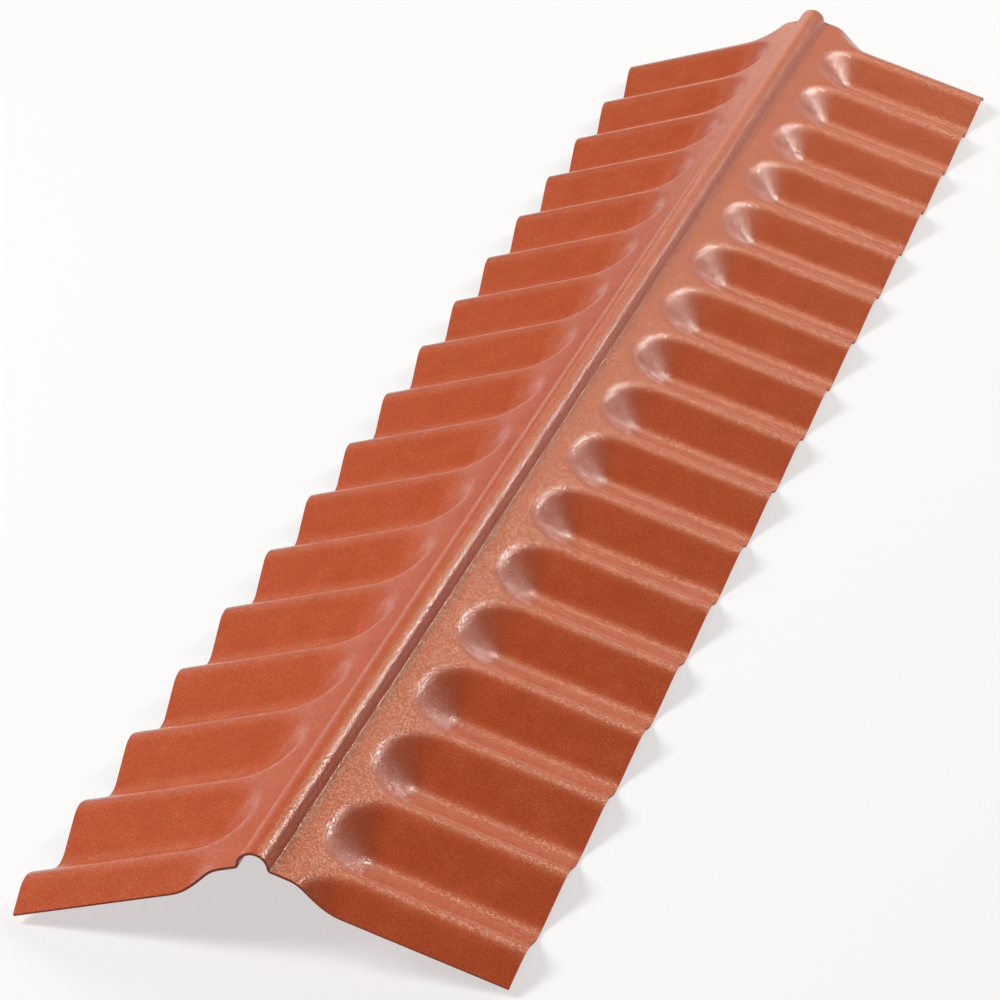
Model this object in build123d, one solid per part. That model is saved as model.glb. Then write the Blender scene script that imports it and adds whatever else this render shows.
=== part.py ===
from build123d import *
import math
import os

# A one-piece ridge cap for corrugated roofing sheet, formed from one thin sheet of plastic.
# The ridge runs along Y. A half-round bead follows it, with a flat strip on each side.
# From the strips two wings slope down towards -X and +X, and their waves run down the slope.
# Each valley between two crests starts just below its strip as a pocket with a round end.
# Z is 0 at the lowest points of the eaves, and the ridge is over the middle of the footprint.
# All lengths are in millimetres and all angles in degrees.

# Waves, which nest on the waves of the roofing sheets. Each valley lies off the middle between
# its crests, towards -Y. The bends at the foot and top of a flank each take a share of it.
wave_pitch = 76.0
wave_count = 17
wave_depth = 13.4
valley_off_middle = 3.6
bend_share = 0.24
end_to_crest = 25.0
crest_below_strip = 2.2

# Wings, measured down the slope from the line where the planes of the two strips meet. A squareness
# of 2 gives the pockets' round ends the outline of an ellipse, and a higher one is squarer.
wing_width = 144.0
wing_slope = 17.0
strip_end = 14.0
pocket_start = 18.5
pocket_round = 34.0
pocket_squareness = 2.2
sheet_thickness = 1.5

# Half-round bead along the ridge, measured over its outside
bead_width = 18.4
bead_height = 9.1
bead_foot_round = 1.2

# How finely the waved faces follow their formula
steps_per_wave = 12
steps_per_pocket = 12
steps_below_pocket = 6
face_tolerance = 0.02

os.makedirs("parts", exist_ok=True)

cap_length = (wave_count - 1) * wave_pitch + 2 * end_to_crest
half_pitch = wave_pitch / 2
pocket_centre = pocket_start + pocket_round
slope_cos = math.cos(math.radians(wing_slope))
slope_sin = math.sin(math.radians(wing_slope))
slope_tan = slope_sin / slope_cos


def smooth_step(share):
    """From 0 to 1, level at both ends."""
    share = min(max(share, 0.0), 1.0)
    return share**3 * (share * (6 * share - 15) + 10)


def bent_slope(share):
    """From 0 to 1 on a straight slope, with a bend at its foot and one at its top."""
    if share < bend_share:
        rise = share**2 / (2 * bend_share)
    elif share < 1 - bend_share:
        rise = share - bend_share / 2
    else:
        rise = 1 - bend_share - (1 - share) ** 2 / (2 * bend_share)
    return rise / (1 - bend_share)


def wave_drop(down_slope, along):
    """How far the sheet lies below the plane of its flat strip.

    Each valley lies a little nearer to the -Y crest beside it. Above the pocket's centre
    the two flanks run together round its end, in a curve a little squarer than an ellipse.
    """
    off_valley = (along - end_to_crest) % wave_pitch - (half_pitch - valley_off_middle)
    if off_valley > 0:
        across = off_valley / (half_pitch + valley_off_middle)
    else:
        across = -off_valley / (half_pitch - valley_off_middle)
    into_end = max(pocket_centre - down_slope, 0.0) / pocket_round
    off_pocket = (across**pocket_squareness + into_end**pocket_squareness) ** (1 / pocket_squareness)
    valley = bent_slope(1 - min(off_pocket, 1.0))
    crest = smooth_step((down_slope - strip_end) / half_pitch)
    return wave_depth * valley + crest_below_strip * crest


def right_point(down_slope, along, below):
    """A point of the right wing, below the plane of its flat strip by so much."""
    return Vector(
        down_slope * slope_cos - below * slope_sin,
        along,
        -down_slope * slope_sin - below * slope_cos,
    )


def evenly(start, end, steps):
    return [start + (end - start) * step / steps for step in range(steps + 1)]


def make_right_wing():
    """The waved wing, from the edge of the flat strip down to the eave."""
    alongs = evenly(0, cap_length, round(cap_length / wave_pitch * steps_per_wave))
    downs = evenly(strip_end, pocket_centre, steps_per_pocket)
    downs += evenly(pocket_centre, wing_width, steps_below_pocket)[1:]
    rows = [[right_point(down, along, wave_drop(down, along)) for down in downs] for along in alongs]
    top = Face.make_surface_from_array_of_points(rows, tol=face_tolerance)
    through_sheet = right_point(0, 0, sheet_thickness)
    underside = Pos(*through_sheet) * top
    edge_faces = []
    for axis in (Axis.X, Axis.Y):
        for end in (0, -1):
            upper = top.edges().sort_by(axis)[end]
            lower = underside.edges().sort_by(axis)[end]
            edge_faces.append(Face.make_surface_from_curves(upper, lower))
    return Solid(Shell([top, underside] + edge_faces))


def make_ridge():
    """The bead and the two flat strips beside it, as one constant section."""
    outer_radius = (bead_height**2 + (bead_width / 2) ** 2) / (2 * bead_height)
    arc_centre = bead_height - outer_radius - bead_width / 2 * slope_tan

    def face_points(below):
        """The foot and top of the bead and the end of the strip, on one face of the sheet."""
        radius = outer_radius - below
        lift = arc_centre + below / slope_cos
        reach = math.sqrt(radius**2 * (1 + slope_tan**2) - lift**2)
        across = (reach - slope_tan * lift) / (1 + slope_tan**2)
        foot = (across, -across * slope_tan - below / slope_cos)
        end = right_point(strip_end, 0, below)
        return foot, (0, arc_centre + radius), (end.X, end.Z)

    def mirrored(point):
        return (-point[0], point[1])

    outer_foot, outer_top, outer_end = face_points(0)
    inner_foot, inner_top, inner_end = face_points(sheet_thickness)
    with BuildSketch(Plane.XZ) as section:
        with BuildLine():
            Polyline(outer_foot, outer_end, inner_end, inner_foot)
            ThreePointArc(inner_foot, inner_top, mirrored(inner_foot))
            Polyline(mirrored(inner_foot), mirrored(inner_end), mirrored(outer_end), mirrored(outer_foot))
            ThreePointArc(mirrored(outer_foot), outer_top, outer_foot)
        make_face()
        for foot, radius in (
            (outer_foot, bead_foot_round),
            (inner_foot, bead_foot_round + sheet_thickness),
        ):
            for place in (foot, mirrored(foot)):
                fillet(section.vertices().sort_by_distance(place)[0], radius)
    return extrude(section.sketch, amount=-cap_length)


def make_cap():
    right_wing = make_right_wing()
    cap = make_ridge() + right_wing + mirror(right_wing, about=Plane.YZ)
    return Pos(0, -cap_length / 2, -cap.bounding_box().min.Z) * cap


ridge_cap = make_cap()
export_step(ridge_cap, "parts/ridge_cap.step")
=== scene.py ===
import math
import bmesh
import bpy
from mathutils import Matrix, Vector


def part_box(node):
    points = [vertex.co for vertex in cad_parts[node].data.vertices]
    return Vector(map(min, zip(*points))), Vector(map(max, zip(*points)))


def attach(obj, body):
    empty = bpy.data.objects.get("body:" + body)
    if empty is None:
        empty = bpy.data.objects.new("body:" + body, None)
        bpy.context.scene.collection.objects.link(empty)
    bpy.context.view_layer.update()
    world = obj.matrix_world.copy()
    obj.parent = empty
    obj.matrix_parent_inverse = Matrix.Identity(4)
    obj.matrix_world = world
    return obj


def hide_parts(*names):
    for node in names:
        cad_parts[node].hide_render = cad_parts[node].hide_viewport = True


# A one-piece ridge cap of terracotta plastic, lying on its eaves on a pale floor.
# All lengths are in metres and the ridge runs along Y, as in the frame.

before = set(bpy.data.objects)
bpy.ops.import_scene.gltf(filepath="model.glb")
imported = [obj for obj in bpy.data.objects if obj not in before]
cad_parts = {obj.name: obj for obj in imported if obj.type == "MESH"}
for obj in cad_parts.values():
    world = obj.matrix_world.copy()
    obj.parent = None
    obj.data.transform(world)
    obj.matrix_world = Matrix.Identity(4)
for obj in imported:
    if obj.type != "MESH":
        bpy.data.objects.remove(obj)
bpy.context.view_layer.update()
cap_low, cap_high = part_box("ridge_cap")

# The sheet's form
WAVE_PITCH = 0.076
WAVE_COUNT = 17
WAVE_DEPTH = 0.0134
VALLEY_OFF_MIDDLE = 0.0036
BEND_SHARE = 0.24
CREST_BELOW_STRIP = 0.0022
WING_WIDTH = 0.144
WING_SLOPE = math.radians(17.0)
STRIP_END = 0.014
POCKET_START = 0.0185
POCKET_ROUND = 0.034
POCKET_SQUARENESS = 2.2
SHEET_THICKNESS = 0.0015
BEAD_WIDTH = 0.0184
BEAD_HEIGHT = 0.0091
BEAD_FOOT_ROUND = 0.0012

# How many steps the visible mesh has
STEPS_PER_WAVE = 32
BEAD_STEPS = 10
FOOT_STEPS = 4
STRIP_STEPS = 1
POCKET_STEPS = 24
LOWER_STEPS = 3

HALF_PITCH = WAVE_PITCH / 2
POCKET_CENTRE = POCKET_START + POCKET_ROUND
SLOPE_COS = math.cos(WING_SLOPE)
SLOPE_SIN = math.sin(WING_SLOPE)
SLOPE_TAN = math.tan(WING_SLOPE)
CAP_LENGTH = cap_high.y - cap_low.y
END_TO_CREST = (CAP_LENGTH - (WAVE_COUNT - 1) * WAVE_PITCH) / 2

# The camera, at the photograph's place, with its lens and sensor in millimetres
CAMERA_PLACE = (0.6635, -2.3358, 1.1793)
CAMERA_TURN = math.radians(17.233)
CAMERA_DIP = math.radians(26.726)
CAMERA_ROLL = math.radians(-1.218)
CAMERA_LENS = 151.75
CAMERA_SENSOR = 36.0

# The lamps. Each has its name, its turn from +Y towards +X and its rise in degrees, its width
# and height, its power in watts and its colour.
LAMP_DISTANCE = 4.0
NEUTRAL = (1.0, 1.0, 1.0)
WARM = (1.0, 0.87, 0.68)
SOFTBOXES = (
    ("key_softbox", -124, 48, (1.2, 1.9), 140, NEUTRAL),
    ("back_right_strip_light", 30.5, 28, (0.24, 1.5), 60, NEUTRAL),
    ("back_right_softbox", 15, 42, (1.7, 2.0), 40, WARM),
    ("back_low_softbox", 6, 12, (1.5, 1.2), 4.5, WARM),
    ("back_left_softbox", -13, 18, (1.2, 2.2), 12, WARM),
    ("left_softbox", -51, 26, (2.6, 1.8), 10, WARM),
    ("right_low_softbox", 81, 6, (1.0, 0.6), 11, WARM),
)

# The backdrop, white up to one Z of the line of sight and dark from another
WHITE_UP_TO = 0.0
DARK_FROM = 0.15
OVERHEAD_TONE = 0.08

# The floor, and the share of white glow in what is seen of it
FLOOR_GLOW = 0.6
FLOOR_HALF_WIDTH = 15.0

# The terracotta plastic, with its noise scales per metre
GRAIN_SCALE = 1100.0
MOTTLE_SCALE = 60.0
SPARKLE_SCALE = 700.0
GRAIN_IN_TONE = 0.8
MOTTLE_IN_TONE = 0.3
BASE_ROUGHNESS = 0.30
GRAIN_IN_ROUGHNESS = 0.2
SPARKLE_FROM = 0.49
SPARKLE_GAIN = 9.0
SPARKLE_MOST = 0.8
TERRACOTTA_STOPS = (
    (0.30, (0.42, 0.066, 0.021, 1)),
    (0.50, (0.50, 0.082, 0.027, 1)),
    (0.72, (0.62, 0.140, 0.062, 1)),
)

# The cut edge of the sheet, with its noise scale per metre. Its colour is the plastic's, made far
# darker: painted shade.
EDGE_GRAIN_SCALE = 700.0
PAINTED_SHADE_EDGE_STOPS = ((0.35, (0.12, 0.030, 0.016, 1)), (0.65, (0.22, 0.055, 0.028, 1)))


def smooth_step(share):
    """From 0 to 1, level at both ends."""
    share = min(max(share, 0.0), 1.0)
    return share**3 * (share * (6 * share - 15) + 10)


def bent_slope(share):
    """From 0 to 1 on a straight slope, with a bend at its foot and one at its top."""
    if share < BEND_SHARE:
        rise = share**2 / (2 * BEND_SHARE)
    elif share < 1 - BEND_SHARE:
        rise = share - BEND_SHARE / 2
    else:
        rise = 1 - BEND_SHARE - (1 - share) ** 2 / (2 * BEND_SHARE)
    return rise / (1 - BEND_SHARE)


class Sheet:
    """The form of the cap's upper face."""

    def __init__(self):
        self.bead_radius = (BEAD_HEIGHT**2 + (BEAD_WIDTH / 2) ** 2) / (2 * BEAD_HEIGHT)
        self.bead_centre = BEAD_HEIGHT - self.bead_radius - BEAD_WIDTH / 2 * SLOPE_TAN
        self.apex = cap_high.z - self.bead_centre - self.bead_radius

    def wave_drop(self, down, along):
        """How far the sheet lies below the plane of its flat strip."""
        off_valley = (along - END_TO_CREST) % WAVE_PITCH - (HALF_PITCH - VALLEY_OFF_MIDDLE)
        if off_valley > 0:
            across = off_valley / (HALF_PITCH + VALLEY_OFF_MIDDLE)
        else:
            across = -off_valley / (HALF_PITCH - VALLEY_OFF_MIDDLE)
        into_end = max(POCKET_CENTRE - down, 0.0) / POCKET_ROUND
        off_pocket = (across**POCKET_SQUARENESS + into_end**POCKET_SQUARENESS) ** (
            1 / POCKET_SQUARENESS
        )
        valley = bent_slope(1 - min(off_pocket, 1.0))
        crest = smooth_step((down - STRIP_END) / HALF_PITCH)
        return WAVE_DEPTH * valley + CREST_BELOW_STRIP * crest

    def stations(self):
        """Places across one half, from the ridge to the eave.

        Each is a distance down the slope and a height above the strip.
        """
        # The foot's round touches the bead's arc from outside and the strip from above.
        round_centre_lift = BEAD_FOOT_ROUND
        reach = self.bead_radius + BEAD_FOOT_ROUND
        centre_down = -self.bead_centre * SLOPE_SIN
        centre_lift = self.bead_centre * SLOPE_COS
        round_down = centre_down + math.sqrt(reach**2 - (round_centre_lift - centre_lift) ** 2)
        touch = math.atan2(round_centre_lift - centre_lift, round_down - centre_down)
        top = math.pi / 2 + WING_SLOPE
        places = []
        for step in range(BEAD_STEPS + 1):
            angle = top + (touch - top) * step / BEAD_STEPS
            places.append(
                (
                    centre_down + self.bead_radius * math.cos(angle),
                    centre_lift + self.bead_radius * math.sin(angle),
                )
            )
        start = touch + math.pi
        end = 1.5 * math.pi
        for step in range(1, FOOT_STEPS + 1):
            angle = start + (end - start) * step / FOOT_STEPS
            places.append(
                (
                    round_down + BEAD_FOOT_ROUND * math.cos(angle),
                    round_centre_lift + BEAD_FOOT_ROUND * math.sin(angle),
                )
            )
        for start, end, steps in (
            (round_down, STRIP_END, STRIP_STEPS),
            (STRIP_END, POCKET_CENTRE, POCKET_STEPS),
            (POCKET_CENTRE, WING_WIDTH, LOWER_STEPS),
        ):
            places += [(start + (end - start) * step / steps, 0.0) for step in range(1, steps + 1)]
        return places

    def point(self, side, down, lift, along):
        """A point of the upper face, to the left of the ridge (-1) or to the right (1)."""
        below = self.wave_drop(down, along) - lift
        across = down * SLOPE_COS - below * SLOPE_SIN
        height = self.apex - down * SLOPE_SIN - below * SLOPE_COS
        return Vector((side * across, cap_low.y + along, height))


def make_cap():
    """The formed sheet: a grid laid over the cap's form and given its thickness."""
    sheet = Sheet()
    places = sheet.stations()
    half_columns = len(places) - 1
    rows = round(CAP_LENGTH / WAVE_PITCH * STEPS_PER_WAVE)
    form = bmesh.new()
    bmesh.ops.create_grid(form, x_segments=2 * half_columns, y_segments=rows, size=1.0)
    for vertex in form.verts:
        column = round(vertex.co.x * half_columns)
        down, lift = places[abs(column)]
        along = (vertex.co.y + 1) / 2 * CAP_LENGTH
        side = -1 if column < 0 else 1
        vertex.co = sheet.point(side, down, lift, along)
        if column == 0:
            vertex.co.x = 0.0
    for edge in form.edges:
        edge.smooth = not edge.is_boundary
    for face in form.faces:
        face.smooth = True
    mesh = bpy.data.meshes.new("formed_sheet")
    form.to_mesh(mesh)
    form.free()
    cap = bpy.data.objects.new("formed_sheet", mesh)
    bpy.context.scene.collection.objects.link(cap)
    thickness = cap.modifiers.new("sheet_thickness", "SOLIDIFY")
    thickness.thickness = SHEET_THICKNESS
    thickness.offset = -1
    thickness.use_even_offset = True
    thickness.material_offset_rim = 1
    return cap


class Shade:
    """A socket's value in a material, with the usual signs of arithmetic."""

    def __init__(self, tree, socket):
        self.tree = tree
        self.socket = socket

    def math(self, operation, *others):
        node = self.tree.nodes.new("ShaderNodeMath")
        node.operation = operation
        for index, value in enumerate((self,) + others):
            put(self.tree, node.inputs[index], value)
        return Shade(self.tree, node.outputs[0])

    def __add__(self, other):
        return self.math("ADD", other)

    def __sub__(self, other):
        return self.math("SUBTRACT", other)

    def __mul__(self, other):
        return self.math("MULTIPLY", other)

    def __rmul__(self, other):
        return self.math("MULTIPLY", other)

    def __radd__(self, other):
        return self.math("ADD", other)

    def __rsub__(self, other):
        return (self * -1.0).math("ADD", other)


def put(tree, socket, value):
    """Links a value to a socket, or sets the socket to a number or colour."""
    if isinstance(value, Shade):
        tree.links.new(value.socket, socket)
    else:
        socket.default_value = value


class Nodes:
    """The nodes of a material or of the world, and one way to add a node to them."""

    def __init__(self, owner):
        owner.use_nodes = True
        self.owner = owner
        self.tree = owner.node_tree
        self.tree.nodes.clear()

    def node(self, kind, settings=None, inputs=None, output=0):
        node = self.tree.nodes.new(kind)
        for name, value in (settings or {}).items():
            if name == "stops":
                ramp = node.color_ramp
                while len(ramp.elements) < len(value):
                    ramp.elements.new(0.5)
                for element, (position, colour) in zip(ramp.elements, value):
                    element.position = position
                    element.color = colour
            else:
                setattr(node, name, value)
        for name, value in (inputs or {}).items():
            put(self.tree, node.inputs[name], value)
        return Shade(self.tree, node.outputs[output])

    def place(self):
        return self.node("ShaderNodeTexCoord", output="Object")

    def seen(self):
        """1 for what the camera sees, also in a gloss or through glass."""
        rays = [
            self.node("ShaderNodeLightPath", output=name)
            for name in ("Is Camera Ray", "Is Glossy Ray", "Is Transmission Ray")
        ]
        return (rays[0] + rays[1] + rays[2]).math("MINIMUM", 1.0)

    def surface(self, shader, kind="ShaderNodeOutputMaterial"):
        output = self.tree.nodes.new(kind)
        put(self.tree, output.inputs["Surface"], shader)
        return self.owner


def noise(material, place, scale, detail=2.0, roughness=0.5):
    return material.node(
        "ShaderNodeTexNoise",
        inputs={"Vector": place, "Scale": scale, "Detail": detail, "Roughness": roughness},
        output="Fac",
    )


def terracotta_plastic():
    material = Nodes(bpy.data.materials.new("terracotta_plastic"))
    place = material.place()
    grain = noise(material, place, GRAIN_SCALE, detail=2.0, roughness=0.6)
    mottle = noise(material, place, MOTTLE_SCALE, detail=4.0, roughness=0.6)
    # Noise lies around 0.5, and so does the tone.
    tone = (grain - 0.5) * GRAIN_IN_TONE + (mottle - 0.5) * MOTTLE_IN_TONE + 0.5
    colour = material.node("ShaderNodeValToRGB", {"stops": TERRACOTTA_STOPS}, {"Fac": tone})
    roughness = BASE_ROUGHNESS + (grain - 0.5) * GRAIN_IN_ROUGHNESS
    sparkle = noise(material, place, SPARKLE_SCALE, detail=1.0, roughness=0.6)
    gloss = (sparkle - SPARKLE_FROM) * SPARKLE_GAIN
    gloss = gloss.math("MAXIMUM", 0.0).math("MINIMUM", SPARKLE_MOST)
    bump = material.node(
        "ShaderNodeBump",
        inputs={"Strength": 0.5, "Distance": 0.0003, "Height": grain},
    )
    shader = material.node(
        "ShaderNodeBsdfPrincipled",
        inputs={
            "Base Color": colour,
            "Roughness": roughness,
            "Normal": bump,
            "IOR": 1.35,
            "Specular Tint": (1.0, 0.70, 0.35, 1),
            "Coat Weight": gloss,
            "Coat Roughness": 0.27,
        },
    )
    return material.surface(shader)


def painted_shade_cut_edge():
    # The edge is the same plastic as the faces, painted far darker as painted shade.
    material = Nodes(bpy.data.materials.new("painted_shade_cut_edge"))
    grain = noise(material, material.place(), EDGE_GRAIN_SCALE)
    colour = material.node("ShaderNodeValToRGB", {"stops": PAINTED_SHADE_EDGE_STOPS}, {"Fac": grain})
    shader = material.node(
        "ShaderNodeBsdfPrincipled", inputs={"Base Color": colour, "Roughness": 0.7}
    )
    return material.surface(shader)


def pale_floor():
    """Pale, with the object's shadow. For the camera and in reflections it also glows."""
    material = Nodes(bpy.data.materials.new("pale_floor"))
    painted = material.node("ShaderNodeBsdfDiffuse", inputs={"Color": (0.9, 0.9, 0.9, 1)})
    glow = material.node("ShaderNodeEmission", inputs={"Color": (1, 1, 1, 1), "Strength": 1.0})
    factor = material.seen() * FLOOR_GLOW
    both = material.node("ShaderNodeMixShader", inputs={0: factor, 1: painted, 2: glow})
    return material.surface(both)


def make_floor():
    form = bmesh.new()
    bmesh.ops.create_grid(form, x_segments=1, y_segments=1, size=FLOOR_HALF_WIDTH)
    mesh = bpy.data.meshes.new("floor")
    form.to_mesh(mesh)
    form.free()
    floor = bpy.data.objects.new("floor", mesh)
    bpy.context.scene.collection.objects.link(floor)
    mesh.materials.append(pale_floor())


def make_world():
    """A backdrop, white low down and dark overhead, for the camera and in reflections alone."""
    world = Nodes(bpy.data.worlds.new("studio"))
    direction = world.node("ShaderNodeTexCoord", output="Generated")
    height = world.node("ShaderNodeSeparateXYZ", inputs={0: direction}, output="Z")
    white = world.node(
        "ShaderNodeMapRange",
        {"interpolation_type": "SMOOTHSTEP"},
        {
            "Value": height,
            "From Min": WHITE_UP_TO,
            "From Max": DARK_FROM,
            "To Min": 1.0,
            "To Max": OVERHEAD_TONE,
        },
    )
    unlit = world.node("ShaderNodeBackground", inputs={"Strength": 0.0})
    backdrop = world.node("ShaderNodeBackground", inputs={"Color": (1, 1, 1, 1), "Strength": white})
    both = world.node("ShaderNodeMixShader", inputs={0: world.seen(), 1: unlit, 2: backdrop})
    bpy.context.scene.world = world.surface(both, "ShaderNodeOutputWorld")


def add_softbox(name, turn, rise, size, power, colour):
    """A rectangular lamp that faces the cap, with its turn and rise in degrees."""
    turn, rise = math.radians(turn), math.radians(rise)
    away = Vector(
        (math.sin(turn) * math.cos(rise), math.cos(turn) * math.cos(rise), math.sin(rise))
    )
    lamp = bpy.data.lights.new(name, "AREA")
    lamp.shape = "RECTANGLE"
    lamp.size, lamp.size_y = size
    lamp.energy = power
    lamp.color = colour
    holder = bpy.data.objects.new(name, lamp)
    holder.location = away * LAMP_DISTANCE
    holder.rotation_euler = away.to_track_quat("Z", "Y").to_euler()
    bpy.context.scene.collection.objects.link(holder)


def make_lights():
    for softbox in SOFTBOXES:
        add_softbox(*softbox)


def make_camera():
    camera = bpy.data.cameras.new("camera")
    camera.lens = CAMERA_LENS
    camera.sensor_width = CAMERA_SENSOR
    camera.clip_end = 100.0
    holder = bpy.data.objects.new("camera", camera)
    holder.location = CAMERA_PLACE
    turn = (
        Matrix.Rotation(CAMERA_TURN, 3, "Z")
        @ Matrix.Rotation(math.pi / 2 - CAMERA_DIP, 3, "X")
        @ Matrix.Rotation(CAMERA_ROLL, 3, "Z")
    )
    holder.rotation_euler = turn.to_euler()
    bpy.context.scene.collection.objects.link(holder)
    bpy.context.scene.camera = holder


cap = make_cap()
cap.data.materials.append(terracotta_plastic())
# The rim takes the second material, the edge with painted shade.
cap.data.materials.append(painted_shade_cut_edge())
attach(cap, "root")
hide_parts("ridge_cap")
make_floor()
make_world()
make_lights()
make_camera()
bpy.context.scene.view_settings.view_transform = "Standard"
